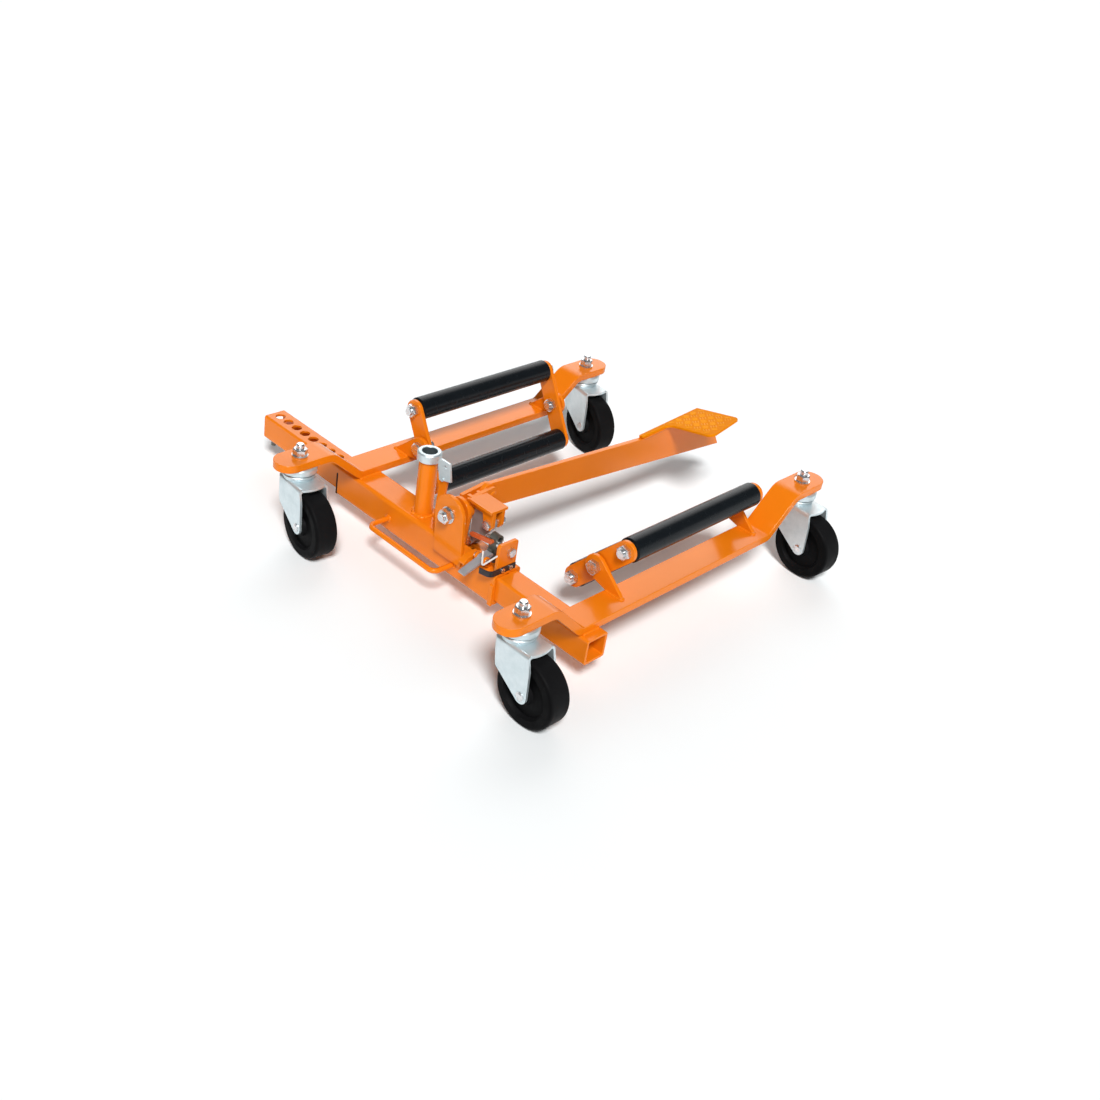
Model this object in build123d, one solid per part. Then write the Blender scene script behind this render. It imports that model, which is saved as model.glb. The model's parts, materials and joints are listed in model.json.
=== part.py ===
"""Vehicle positioning dolly: two caster arms on a telescopic crossbar with a foot ratchet.

Millimetres, +Z up, floor at Z = 0.  +X runs along the crossbar from its drilled end,
+Y runs along the arms away from the crossbar.  The origin ends up under the middle
of the overall box.
"""
import math
import os
from build123d import *

# Overall sizes
WHEEL_DIA = 100.0          # caster wheel, the scale cue for everything else
ARM_SPACING = 464.0        # between the two arm centre lines as shown
CASTER_SPAN = 613.0        # stud to stud along one arm
FRONT_REACH = 118.0        # crossbar axis to the front studs
PAD_TOP = 145.0            # top of the caster pads above the floor

# Fits
RUN = 0.05                 # radial running clearance of a shaft in its bore
SIDE = 0.3                 # side clearance between parts that move past each other
SLIDE = 0.3                # clearance of the inner tube inside the sleeve, each side
LIFT = 1.5                 # daylight left under a lifted pawl

# Crossbar
TUBE = 40.0
TUBE_WALL = 4.0
TUBE_CORNER = 4.0
TUBE_LOW = 41.0            # underside of the inner tube above the floor
TUBE_LEFT = 457.0          # drilled end, left of the middle
TUBE_RIGHT = 268.0         # open end, right of the middle
SLEEVE_WALL = 4.7
SLEEVE_CORNER = 6.0
SLEEVE_LEFT = 256.0
SLEEVE_RIGHT = 95.0
HOLE_DIA = 16.0
HOLE_PITCH = 22.0
HOLE_COUNT = 25
HOLE_INSET = 16.0          # drilled end to the first hole
STOP_PIN_DIA = 8.0
LIP_WIDE = 7.0             # strip on the sleeve front at its right end
LIP_THICK = 2.0
LIP_HIGH = 34.0

# Arms
BAR_WIDTH = 45.0
BAR_THICK = 12.0
BEND_RADIUS = 16.0
PAD_BEND = 24.0            # radius of the bends beside the caster pads
FRONT_FLAT = 45.0          # stud to the start of the front bend
REAR_FLAT = 40.0           # stud to the end of the rear bend
FRONT_RUN = 54.0           # length of the front slope along the arm
REAR_RUN = 57.0            # length of the rear slope along the arm
PAD_END = 42.0             # stud to the rounded end of the bar

# Casters
TRAIL = 38.0
WHEEL_WIDTH = 36.0
AXLE_DIA = 10.0
STUD_DIA = 12.0
FORK_PLATE = 3.5
FORK_BEND = 6.0
FORK_NOSE = 46.0           # radius of the round edge over the wheel, from the swivel axis
FORK_TOP = 113.0
RACE_DIA = 53.0
RACE_HIGH = 11.0           # upper race under the pad
RACE_GAP = 1.4
STUD_TIP = 20.0            # stud above the pad
SWIVEL = (-5.9, -10.6, -0.1, -3.6)   # as shown: left front, left rear, right front, right rear

# Roller cradles
ROLLER_DIA = 36.0
CRADLE_NEAR = 81.0         # outer face of the near link plate, from the crossbar axis
CRADLE_SPARE = 322.0       # caster span less the outside length of a cradle
CRADLE_REACH = 46.0        # arm centre line to the cradle pivot
CRADLE_HIGH = 25.0         # cradle pivot above the top of its arm
ROLLER_REACH = 59.0        # cradle pivot to a roller axis
PLATE = 6.0                # link, gusset and cheek plate
LINK_END = 16.0
GUSSET_END = 18.0
GUSSET_GAP = 2.0           # link to gusset, filled by a washer
ROLLER_BOLT = 12.0
PIVOT_BOLT = 12.0
LEFT_TILT = 61.0           # cradle angle above the horizontal
RIGHT_TILT = 47.0

# Post and D-handle
POST_X = -86.0
POST_DIA = 28.0
SOCKET_DIA = 22.0
COLLAR_DIA = 36.0
COLLAR_HIGH = 14.0
POST_TOP = 190.0
GRIP_ROD = 8.0
GRIP_LEFT = -133.0
GRIP_RIGHT = 12.0
GRIP_DEEP = 37.0
GRIP_HIGH = 59.0

# Ratchet
MAIN_X = -2.0
MAIN_HIGH = 51.0           # main bolt above the sleeve roof
MAIN_BOLT = 12.0
BARREL_DIA = 28.0
BARREL_REAR = 24.0
CHEEK_END = 29.0
INNER_CHEEK_Y = -13.0
PAWL_X = 15.0
PAWL_HIGH = 11.0
PAWL_PIN = 10.0
PAWL_REACH = 24.0
PAWL_REST = 14.0           # degrees below the horizontal
PAWL_THICK = 6.5
PAWL_TIP = 2.5             # radius of the tooth
PAWL_ROOT = 4.5            # radius of the tooth where it leaves the hub
WINDOW_LONG = 46.0         # opening in the sleeve roof for the drive pawl
WINDOW_BACK = 5.0          # pawl pin to the middle of that opening
LEG_THICK = 6.0
SPRING_X = 45.0
SPRING_HIGH = 49.0
SPRING_BOLT = 8.0
SPRING_EAR = 24.0          # width of an ear of the spring bracket
SPRING_PLATE = 5.0         # thickness of an ear
SPRING_REAR = 22.0         # rear face of the rear ear
LEDGE_HIGH = 74.0          # top of the spring bracket above the sleeve roof
LEDGE = 4.0                # thickness of its top plate
LEDGE_OVER = 5.0           # overhang of the top plate over the ears

# Holding pawl and its release
HOLD_TRAVEL = 7.0
HOLD_PIN = 10.0
HOLD_WIDE = 14.0
HOLD_DEEP = 14.0
GUIDE_HIGH = 31.0
GUIDE_BOLT = 8.0
END_PLATE_X = 88.0
END_PLATE_WIDE = 36.0
END_PLATE_Y = -4.0
END_PLATE_HIGH = 47.0
RELEASE_Y = -23.8
RELEASE_HIGH = 13.0
RELEASE_ARM = 13.5
RELEASE_PIN = 6.0
RELEASE_HUB = 4.5          # radius round the release pin
FINGER = 2.5               # radius of the finger tip
RELEASE_WIDE = 12.0
LIFT_PIN = 4.4             # bar on the holding pawl that rests on the finger
LIFT_AHEAD = 1.3           # finger tip to the end of that bar
LIFT_GAP = 0.5
LIFT_ARM_X = 27.0          # free end of the bar on the front of the holding pawl
LIFT_ARM_HIGH = 28.0       # that end above the sleeve roof
LIFT_ARM_RISE = 7.0
LIFT_ARM_THICK = 4.0
LIFT_ARM_OFF = 1.0         # bar to the face of the holding pawl, filled by its boss

# Pedal lever
LEVER_THICK = 8.0
FOLD_Y = 42.0
FOLD_HIGH = 64.0           # fold pin above the sleeve roof
FOLD_PIN = 10.0
EAR_END = 13.0             # radius of a clevis ear round the fold pin
EAR_RISE = 8.0             # top of the clevis above the fold pin
LEVER_ROOT = 16.4          # radius of the lever's round end
LEVER_END = 598.0
LEVER_LOW = 73.0           # lowest corner at the far end
TREAD_START = 380.0
TREAD_HIGH = 142.0         # top edge of the lever where the tread starts
TREAD_RISE = 4.3           # degrees, along the lever
TREAD_ROLL = 13.0          # degrees, across the lever
TREAD_LONG = 146.0
TREAD_NECK = 62.0          # length of the tongue before the plate widens
TREAD_WIDE = 89.0
TREAD_THICK = 4.0

# Values that follow from the sizes above
tube_mid = TUBE_LOW + TUBE / 2
tube_top = TUBE_LOW + TUBE
sleeve_size = TUBE + 2 * (SLIDE + SLEEVE_WALL)
sleeve_half = sleeve_size / 2
sleeve_top = tube_mid + sleeve_half
left_x = -ARM_SPACING / 2
right_x = ARM_SPACING / 2
front_y = -FRONT_REACH
rear_y = CASTER_SPAN - FRONT_REACH
axle_z = WHEEL_DIA / 2
pad_low = PAD_TOP - BAR_THICK
main_z = sleeve_top + MAIN_HIGH
pawl_z = sleeve_top + PAWL_HIGH
spring_z = sleeve_top + SPRING_HIGH
guide_z = sleeve_top + GUIDE_HIGH
release_z = sleeve_top + RELEASE_HIGH
fold_z = sleeve_top + FOLD_HIGH
cradle_length = CASTER_SPAN - CRADLE_SPARE
near_link = CRADLE_NEAR
far_link = CRADLE_NEAR + cradle_length - PLATE
near_gusset = near_link - GUSSET_GAP - PLATE
far_gusset = far_link + PLATE + GUSSET_GAP
first_hole = -TUBE_LEFT + HOLE_INSET
front_face = -sleeve_half
cheek_front = front_face - PLATE
hold_x = first_hole + (HOLE_COUNT - 2) * HOLE_PITCH
fork_gap = WHEEL_WIDTH + 5.0
fork_wide = fork_gap + 2 * FORK_PLATE
lower_race_top = pad_low - RACE_HIGH - RACE_GAP
left_arm_top = sleeve_top + BAR_THICK
right_arm_top = tube_top + BAR_THICK


# Helpers
def plate_xy(face, z, thick):
    return extrude(Plane.XY.offset(z) * face, amount=thick)


def plate_xz(face, y, thick):
    return extrude(Plane.XZ.offset(-y) * face, amount=-thick)


def plate_yz(face, x, thick):
    return extrude(Plane.YZ.offset(x) * face, amount=thick)


def disc(x, y, radius):
    return Pos(x, y) * Circle(radius)


def hull(*shapes):
    edges = []
    for shape in shapes:
        edges += list(shape.edges())
    return make_hull(edges)


def outline(*points):
    return make_face(Polyline(*points, close=True))


def turned(*points):
    return revolve(Plane.XZ * outline(*points), axis=Axis.Z)


def rod(diameter, length):
    return extrude(Circle(diameter / 2), amount=length)


def tube(outer, inner, length):
    return extrude(Circle(outer / 2) - Circle(inner / 2), amount=length)


def hexagon(diameter, high):
    across = 1.6 * diameter
    prism = extrude(RegularPolygon(across / 2, 6, major_radius=False), amount=high)
    corner = across / 3 ** 0.5
    shoulder = high - 0.08 * across
    cap = turned((0, 0), (corner, 0), (corner, shoulder), (0.9 * across / 2, high), (0, high))
    return prism & cap


def nut(diameter, high):
    return hexagon(diameter, high) - rod(diameter + 2 * RUN, high)


def bolt(diameter, length, head):
    return rod(diameter, length) + Rot(180, 0, 0) * hexagon(diameter, head)


def along_y(x, y, z, shape):
    return Pos(x, y, z) * Rot(-90, 0, 0) * shape


def along_x(x, y, z, shape):
    return Pos(x, y, z) * Rot(0, 90, 0) * shape


def turn_about_y(shape, x, z, degrees):
    return Pos(x, 0, z) * Rot(0, degrees, 0) * Pos(-x, 0, -z) * shape


nodes = {}

# Crossbar
square = RectangleRounded(TUBE, TUBE, TUBE_CORNER)
square -= RectangleRounded(TUBE - 2 * TUBE_WALL, TUBE - 2 * TUBE_WALL, TUBE_CORNER / 2)
inner_tube = plate_yz(Pos(0, tube_mid) * square, -TUBE_LEFT, TUBE_LEFT + TUBE_RIGHT)
for index in range(HOLE_COUNT):
    hole_x = first_hole + index * HOLE_PITCH
    inner_tube -= Pos(hole_x, 0, TUBE_LOW) * rod(HOLE_DIA, TUBE)
stop_x = -TUBE_LEFT + 10.0
stop_y = -7.0
inner_tube -= Pos(stop_x, stop_y, TUBE_LOW) * rod(STOP_PIN_DIA + 2 * RUN, TUBE_WALL)
nodes["inner_tube"] = inner_tube

stop_pin = Pos(stop_x, stop_y, TUBE_LOW - 13.0) * rod(STOP_PIN_DIA, 13.0 + TUBE_WALL)
nodes["stop_pin"] = stop_pin

jacket = RectangleRounded(sleeve_size, sleeve_size, SLEEVE_CORNER)
jacket -= RectangleRounded(TUBE + 2 * SLIDE, TUBE + 2 * SLIDE, TUBE_CORNER + SLIDE)
sleeve = plate_yz(Pos(0, tube_mid) * jacket, -SLEEVE_LEFT, SLEEVE_LEFT + SLEEVE_RIGHT)
window = Pos(PAWL_X - WINDOW_BACK, 0, tube_top) * Box(WINDOW_LONG, PAWL_THICK + 3, 4 * SLEEVE_WALL)
sleeve -= window
sleeve -= Pos(hold_x, 0, tube_top) * rod(HOLD_PIN + 2 * SIDE, 2 * SLEEVE_WALL)
lip_place = Pos(SLEEVE_RIGHT - LIP_WIDE / 2, front_face, tube_mid - sleeve_half + LIP_HIGH / 2)
sleeve += lip_place * Box(LIP_WIDE, 2 * LIP_THICK, LIP_HIGH)
nodes["sleeve"] = sleeve


# Arms: one flat bar each, bent down onto the crossbar and up again to the far caster
def arm(x, rest_on):
    low = rest_on + BAR_THICK / 2
    high = PAD_TOP - BAR_THICK / 2
    start = front_y - PAD_END - 5.0
    stop = rear_y + PAD_END + 5.0
    bend_1 = front_y + FRONT_FLAT
    bend_4 = rear_y - REAR_FLAT
    path = FilletPolyline(
        (x, start, high),
        (x, bend_1, high),
        (x, bend_1 + FRONT_RUN, low),
        (x, bend_4 - REAR_RUN, low),
        (x, bend_4, high),
        (x, stop, high),
        radius=[PAD_BEND, BEND_RADIUS, BEND_RADIUS, PAD_BEND],
    )
    section = Plane(path @ 0, x_dir=(1, 0, 0), z_dir=(0, 1, 0)) * Rectangle(BAR_WIDTH, BAR_THICK)
    bar = sweep(section, path=path)
    plan = Rot(0, 0, 90) * SlotOverall(CASTER_SPAN + 2 * PAD_END, BAR_WIDTH)
    bar = bar & plate_xy(Pos(x, (front_y + rear_y) / 2) * plan, 0, 2 * PAD_TOP)
    for y in (front_y, rear_y):
        bar -= Pos(x, y, pad_low - 1) * rod(STUD_DIA + 2 * RUN, BAR_THICK + 2)
    return bar


nodes["left_arm"] = arm(left_x, sleeve_top)
nodes["right_arm"] = arm(right_x, tube_top)


# Gussets and cradle pivots
def gusset_pair(x, inward, base):
    pivot = (x + inward * CRADLE_REACH, base + CRADLE_HIGH)
    foot = Pos(x + inward * 7.0, base + 1.0) * Rectangle(BAR_WIDTH - 15.0, 2.0)
    face = hull(foot, disc(*pivot, GUSSET_END)) - disc(*pivot, PIVOT_BOLT / 2 + RUN)
    return Compound([plate_xz(face, near_gusset, PLATE), plate_xz(face, far_gusset, PLATE)])


def pivot_pair(x, inward, base):
    pivot_x = x + inward * CRADLE_REACH
    pivot_z = base + CRADLE_HIGH
    stack = [bolt(PIVOT_BOLT, 2 * PLATE + GUSSET_GAP + 12.0, 8.0)]
    stack.append(Pos(0, 0, PLATE) * tube(24.0, PIVOT_BOLT + 2 * RUN, GUSSET_GAP - SIDE))
    stack.append(Pos(0, 0, 2 * PLATE + GUSSET_GAP + SIDE) * nut(PIVOT_BOLT, 8.5))
    near = [along_y(pivot_x, near_gusset, pivot_z, item) for item in stack]
    turned_round = Pos(pivot_x, far_gusset + PLATE, pivot_z) * Rot(90, 0, 0)
    far = [turned_round * item for item in stack]
    return Compound(near + far)


nodes["gussets_left"] = gusset_pair(left_x, 1, left_arm_top)
nodes["gussets_right"] = gusset_pair(right_x, -1, right_arm_top)
nodes["pivot_bolts_left"] = pivot_pair(left_x, 1, left_arm_top)
nodes["pivot_bolts_right"] = pivot_pair(right_x, -1, right_arm_top)


# Cradles: built lying along X, then tilted about the pivot
def roller_shape(length):
    half = ROLLER_DIA / 2
    bore = ROLLER_BOLT / 2 + RUN
    shell = half - 4.0
    return turned(
        (bore, 0),
        (half - 2, 0),
        (half, 2),
        (half, length - 2),
        (half - 2, length),
        (bore, length),
        (bore, length - 14),
        (shell, length - 14),
        (shell, 14),
        (bore, 14),
    )


def cradle(x, inward, base, tilt):
    pivot_x = x + inward * CRADLE_REACH
    pivot_z = base + CRADLE_HIGH
    ends = (pivot_x - ROLLER_REACH, pivot_x + ROLLER_REACH)
    face = hull(disc(ends[0], pivot_z, LINK_END), disc(ends[1], pivot_z, LINK_END))
    face -= disc(pivot_x, pivot_z, PIVOT_BOLT / 2 + RUN)
    for end in ends:
        face -= disc(end, pivot_z, ROLLER_BOLT / 2 + RUN)
    links = [plate_xz(face, near_link, PLATE), plate_xz(face, far_link, PLATE)]
    bolts = []
    rollers = []
    roller_near = near_link + PLATE + 1.0
    roller_long = far_link - roller_near - 1.0
    for end in ends:
        far_face = Pos(end, far_link + PLATE, pivot_z) * Rot(90, 0, 0)
        bolts.append(far_face * bolt(ROLLER_BOLT, cradle_length + 12.0, 7.5))
        bolts.append(far_face * Pos(0, 0, cradle_length) * nut(ROLLER_BOLT, 8.0))
        rollers.append(along_y(end, roller_near, pivot_z, roller_shape(roller_long)))
    swing = Pos(pivot_x, 0, pivot_z) * Rot(0, tilt * inward, 0) * Pos(-pivot_x, 0, -pivot_z)
    links = Compound([swing * item for item in links])
    bolts = Compound([swing * item for item in bolts])
    rollers = [swing * item for item in rollers]
    return links, bolts, rollers


links, bolts, rollers = cradle(left_x, 1, left_arm_top, LEFT_TILT)
nodes["links_left"] = links
nodes["roller_bolts_left"] = bolts
nodes["roller_left_upper"] = rollers[0]
nodes["roller_left_lower"] = rollers[1]
links, bolts, rollers = cradle(right_x, -1, right_arm_top, RIGHT_TILT)
nodes["links_right"] = links
nodes["roller_bolts_right"] = bolts
nodes["roller_right_upper"] = rollers[1]
nodes["roller_right_lower"] = rollers[0]


# Casters: drawn with the swivel axis on Z and the wheel trailing toward +X
def fork_shape():
    outer = Pos(0, FORK_TOP / 2) * Rectangle(fork_wide, FORK_TOP)
    outer = fillet(outer.vertices().group_by(Axis.Y)[-1], FORK_BEND)
    inner = Pos(0, FORK_TOP / 2 - FORK_PLATE) * Rectangle(fork_gap, FORK_TOP)
    inner = fillet(inner.vertices().group_by(Axis.Y)[-1], FORK_BEND - FORK_PLATE)
    channel = plate_yz(outer - inner, -30.0, TRAIL + 60.0)
    lead_top = disc(-15.0, FORK_TOP - 3.0, 3.0)
    lead_low = disc(-7.0, FORK_TOP - 41.0, 4.0)
    trail_top = disc(TRAIL + 1.5, FORK_TOP - 3.0, 3.0)
    trail_mid = disc(TRAIL + 5.0, FORK_TOP - 22.0, 4.0)
    side = hull(lead_top, lead_low, trail_top, trail_mid, disc(TRAIL, axle_z, 10.5))
    plan = Pos(TRAIL / 2, 0) * RectangleRounded(TRAIL + 38.0, fork_wide, 7.0)
    fork = channel & plate_xz(side, -fork_wide, 2 * fork_wide) & plate_xy(plan, 0, 2 * FORK_TOP)
    nose = disc(0, 0, FORK_NOSE) & Pos(FORK_NOSE / 2, 0) * Rectangle(FORK_NOSE, fork_wide - 2 * FORK_BEND)
    fork += plate_xy(nose, FORK_TOP - FORK_PLATE, FORK_PLATE)
    lip = RACE_DIA / 2 + 2.0
    neck = RACE_DIA / 2 - 1.0
    fork += turned(
        (0, FORK_TOP - 1),
        (lip - 6, FORK_TOP - 1),
        (lip - 6, FORK_TOP),
        (lip - 5, FORK_TOP + 1.5),
        (neck, lower_race_top - 1),
        (neck - 1, lower_race_top),
        (0, lower_race_top),
    )
    fork -= Pos(0, 0, FORK_TOP - 20) * rod(STUD_DIA + 2 * RUN, 40)
    fork -= along_y(TRAIL, -fork_wide, axle_z, rod(AXLE_DIA + 2 * RUN, 2 * fork_wide))
    return fork


def wheel_shape():
    tread = WHEEL_DIA / 2
    half = WHEEL_WIDTH / 2
    hub = fork_gap / 2 - SIDE
    bore = AXLE_DIA / 2 + RUN
    profile = outline(
        (bore, -hub), (13, -hub), (15, -hub + 6), (33, -half + 6), (36, -half),
        (tread, -half), (tread, half),
        (36, half), (33, half - 6), (15, hub - 6), (13, hub), (bore, hub),
    )
    rim = [v for v in profile.vertices() if v.X > tread - 0.1]
    profile = fillet(rim, 5.5)
    return Pos(TRAIL, 0, axle_z) * Rot(-90, 0, 0) * revolve(Plane.XZ * profile, axis=Axis.Z)


def axle_shape():
    cap = turned((0, -2.0), (4.5, -2.0), (6.5, -0.8), (6.5, 0), (0, 0))
    pin = rod(AXLE_DIA, fork_wide) + cap + Pos(0, 0, fork_wide) * Rot(180, 0, 0) * cap
    return along_y(TRAIL, -fork_wide / 2, axle_z, pin)


def stud_shape():
    foot = FORK_TOP - FORK_PLATE - SIDE - 6.0
    shank = Pos(0, 0, foot) * rod(STUD_DIA, PAD_TOP + STUD_TIP - foot)
    tip = turned((0, 0), (STUD_DIA / 2 - 1.5, 0), (STUD_DIA / 2, -1.5), (STUD_DIA / 2, -4), (0, -4))
    shank = shank - Pos(0, 0, PAD_TOP + STUD_TIP - 4) * rod(STUD_DIA + 2, 6)
    return shank + Pos(0, 0, PAD_TOP + STUD_TIP) * tip + Pos(0, 0, foot) * rod(21.0, 6.0)


def stud_nut_shapes():
    washer = Pos(0, 0, PAD_TOP) * tube(24.0, STUD_DIA + 2 * RUN, 2.5)
    return [washer, Pos(0, 0, PAD_TOP + 2.5) * nut(STUD_DIA, 10.0)]


def race_shape():
    wide = RACE_DIA / 2
    under = lower_race_top + RACE_GAP
    bore = STUD_DIA / 2 + RUN
    return turned(
        (bore, under),
        (wide - 1.5, under),
        (wide, under + 1.5),
        (wide, pad_low - 2),
        (wide - 2, pad_low),
        (bore, pad_low),
    )


corners = {
    "left_front": (left_x, front_y, SWIVEL[0]),
    "left_rear": (left_x, rear_y, SWIVEL[1]),
    "right_front": (right_x, front_y, SWIVEL[2]),
    "right_rear": (right_x, rear_y, SWIVEL[3]),
}
for name, (x, y, angle) in corners.items():
    place = Pos(x, y, 0) * Rot(0, 0, angle)
    nodes["fork_" + name] = place * fork_shape()
    nodes["wheel_" + name] = place * wheel_shape()
    nodes["axle_" + name] = place * axle_shape()
for side, x in (("left", left_x), ("right", right_x)):
    spots = [Pos(x, y, 0) for y in (front_y, rear_y)]
    nodes["studs_" + side] = Compound([spot * stud_shape() for spot in spots])
    nodes["stud_nuts_" + side] = Compound([spot * item for spot in spots for item in stud_nut_shapes()])
    nodes["races_" + side] = Compound([spot * race_shape() for spot in spots])

# Post with its collar, latch strip and latch plate
post_long = POST_TOP - COLLAR_HIGH - sleeve_top
nodes["post"] = Pos(POST_X, 0, sleeve_top) * tube(POST_DIA, SOCKET_DIA, post_long)
ring = COLLAR_DIA / 2
bore = SOCKET_DIA / 2
collar = turned(
    (bore, 0),
    (ring - 1, 0),
    (ring, 1),
    (ring, COLLAR_HIGH - 2),
    (ring - 2, COLLAR_HIGH),
    (bore + 1, COLLAR_HIGH),
    (bore, COLLAR_HIGH - 1),
)
nodes["collar"] = Pos(POST_X, 0, POST_TOP - COLLAR_HIGH) * collar
strip_x = POST_X + POST_DIA / 2 + 10.0
strip = outline(
    (strip_x, sleeve_top),
    (strip_x + 16, sleeve_top),
    (strip_x + 16, sleeve_top + 40),
    (strip_x + 20, POST_TOP - 28),
    (strip_x + 4, POST_TOP - 33),
)
nodes["latch_strip"] = plate_xz(strip, -2.0, 4.0)
plate = outline(
    (strip_x, POST_TOP - 4),
    (strip_x + 5, POST_TOP + 2),
    (strip_x + 24, POST_TOP + 2),
    (strip_x + 30, POST_TOP - 25),
    (strip_x + 6, POST_TOP - 32),
)
plate -= disc(strip_x + 16, POST_TOP - 6, 2.5)
latch = plate_xz(plate, -5.0, 3.0)
latch += along_y(strip_x + 13, -6.5, POST_TOP - 28, rod(6.0, 2.0))
nodes["latch_plate"] = latch

# D-handle on the sleeve front
grip_path = FilletPolyline(
    (GRIP_LEFT, front_face, GRIP_HIGH),
    (GRIP_LEFT, front_face - GRIP_DEEP, GRIP_HIGH),
    (GRIP_RIGHT, front_face - GRIP_DEEP, GRIP_HIGH),
    (GRIP_RIGHT, front_face, GRIP_HIGH),
    radius=11.0,
)
grip_start = Plane(grip_path @ 0, z_dir=(0, -1, 0))
nodes["handle"] = sweep(grip_start * Circle(GRIP_ROD / 2), path=grip_path)

# Cheek plates that carry the main bolt
cheek_foot = Pos(MAIN_X + 5.0, sleeve_top - 10.0) * Rectangle(56.0, 20.0)
cheek = hull(cheek_foot, disc(MAIN_X, main_z, CHEEK_END))
cheek -= disc(MAIN_X, main_z, MAIN_BOLT / 2 + RUN)
nodes["front_cheek"] = plate_xz(cheek, cheek_front, PLATE)
inner_foot = Pos(MAIN_X - 2.0, sleeve_top + 4.0) * Rectangle(36.0, 8.0)
inner_cheek = hull(inner_foot, disc(MAIN_X, main_z, BARREL_DIA / 2 + 7.0))
inner_cheek -= disc(MAIN_X, main_z, MAIN_BOLT / 2 + RUN)
nodes["inner_cheek"] = plate_xz(inner_cheek, INNER_CHEEK_Y, PLATE)

head_y = BARREL_REAR - 9.0
main_long = head_y - cheek_front + 16.0
shank = Pos(MAIN_X, head_y, main_z) * Rot(90, 0, 0)
main_bolt = [shank * (rod(MAIN_BOLT, main_long) + Pos(0, 0, -7.0) * rod(19.0, 7.0))]
main_bolt.append(along_y(MAIN_X, cheek_front - 2.5, main_z, tube(25.0, MAIN_BOLT + 2 * RUN, 2.5)))
main_bolt.append(Pos(MAIN_X, cheek_front - 2.5, main_z) * Rot(90, 0, 0) * nut(MAIN_BOLT, 10.0))
nodes["main_bolt"] = Compound(main_bolt)

# Rocker: a barrel on the main bolt with the lever clevis and the spring arms
barrel_front = INNER_CHEEK_Y + PLATE + SIDE
barrel_long = BARREL_REAR - barrel_front
rocker = along_y(MAIN_X, barrel_front, main_z, rod(BARREL_DIA, barrel_long))
ear_low = main_z - BARREL_DIA / 2 + 1.0
ear_top = fold_z + EAR_RISE
ear_back = Pos(8.0, (ear_low + ear_top) / 2) * Rectangle(24.0, ear_top - ear_low)
ear = hull(ear_back, disc(FOLD_Y, fold_z, EAR_END)) - disc(FOLD_Y, fold_z, FOLD_PIN / 2 + RUN)
gap = LEVER_THICK / 2 + SIDE
rocker += plate_yz(ear, MAIN_X + gap, PLATE)
rocker += plate_yz(ear, MAIN_X - gap - PLATE, PLATE)
ledge_z = sleeve_top + LEDGE_HIGH
spring_end = SPRING_X + 9.0
spring_ear = Pos(spring_end - SPRING_EAR / 2, ledge_z - 1) * Rectangle(SPRING_EAR, 2)
spring_ear = hull(spring_ear, disc(SPRING_X, spring_z, 9.0))
spring_ear += Pos((MAIN_X + spring_end) / 2, ledge_z - 6) * Rectangle(spring_end - MAIN_X, 12)
spring_ear -= disc(SPRING_X, spring_z, SPRING_BOLT / 2 + RUN)
rocker += plate_xz(spring_ear, 0.0, SPRING_PLATE)
rocker += plate_xz(spring_ear, SPRING_REAR - SPRING_PLATE, SPRING_PLATE)
ledge_from = MAIN_X + gap + PLATE
ledge = Rectangle(spring_end - ledge_from, SPRING_REAR + 2 * LEDGE_OVER)
rocker += plate_xy(Pos((ledge_from + spring_end) / 2, SPRING_REAR / 2) * ledge, ledge_z - LEDGE, LEDGE)
rocker -= along_y(MAIN_X, barrel_front - 1, main_z, rod(MAIN_BOLT + 2 * RUN, barrel_long + 2))
rocker -= along_y(MAIN_X, head_y - SIDE, main_z, rod(20.0, 40.0))
nodes["rocker"] = rocker

leg_top = disc(MAIN_X, main_z, BARREL_DIA / 2 + 6)
leg = hull(leg_top, disc(PAWL_X, pawl_z, PAWL_HIGH - 2 * SIDE), disc(SPRING_X, spring_z, 8.0))
leg -= disc(PAWL_X, pawl_z, PAWL_PIN / 2 + RUN)
leg -= disc(SPRING_X, spring_z, SPRING_BOLT / 2 + RUN)
leg = plate_xz(leg, SPRING_PLATE, LEG_THICK)
for x in (MAIN_X + gap, MAIN_X - gap - PLATE):
    leg -= plate_yz(Pos(20, fold_z - 12) * Rectangle(60, 80), x, PLATE)
leg -= along_y(MAIN_X, 0, main_z, rod(BARREL_DIA, 20))
nodes["rocker_leg"] = leg.solids().sort_by(SortBy.VOLUME)[-1]

pin_rear = SPRING_PLATE + LEG_THICK
pawl_pin = Pos(PAWL_X, pin_rear, pawl_z) * Rot(90, 0, 0)
pin_long = pin_rear - barrel_front
pin = pawl_pin * (rod(PAWL_PIN, pin_long) + Pos(0, 0, -5.0) * rod(16.0, 5.0))
clip = along_y(PAWL_X, barrel_front, pawl_z, tube(16.0, PAWL_PIN, 1.6))
spring_bolt = along_y(SPRING_X, 0.0, spring_z, bolt(SPRING_BOLT, SPRING_REAR + 9.0, 5.5))
spring_nut = along_y(SPRING_X, SPRING_REAR, spring_z, nut(SPRING_BOLT, 6.5))
nodes["rocker_bolts"] = Compound([pin + clip, spring_bolt, spring_nut])

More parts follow.
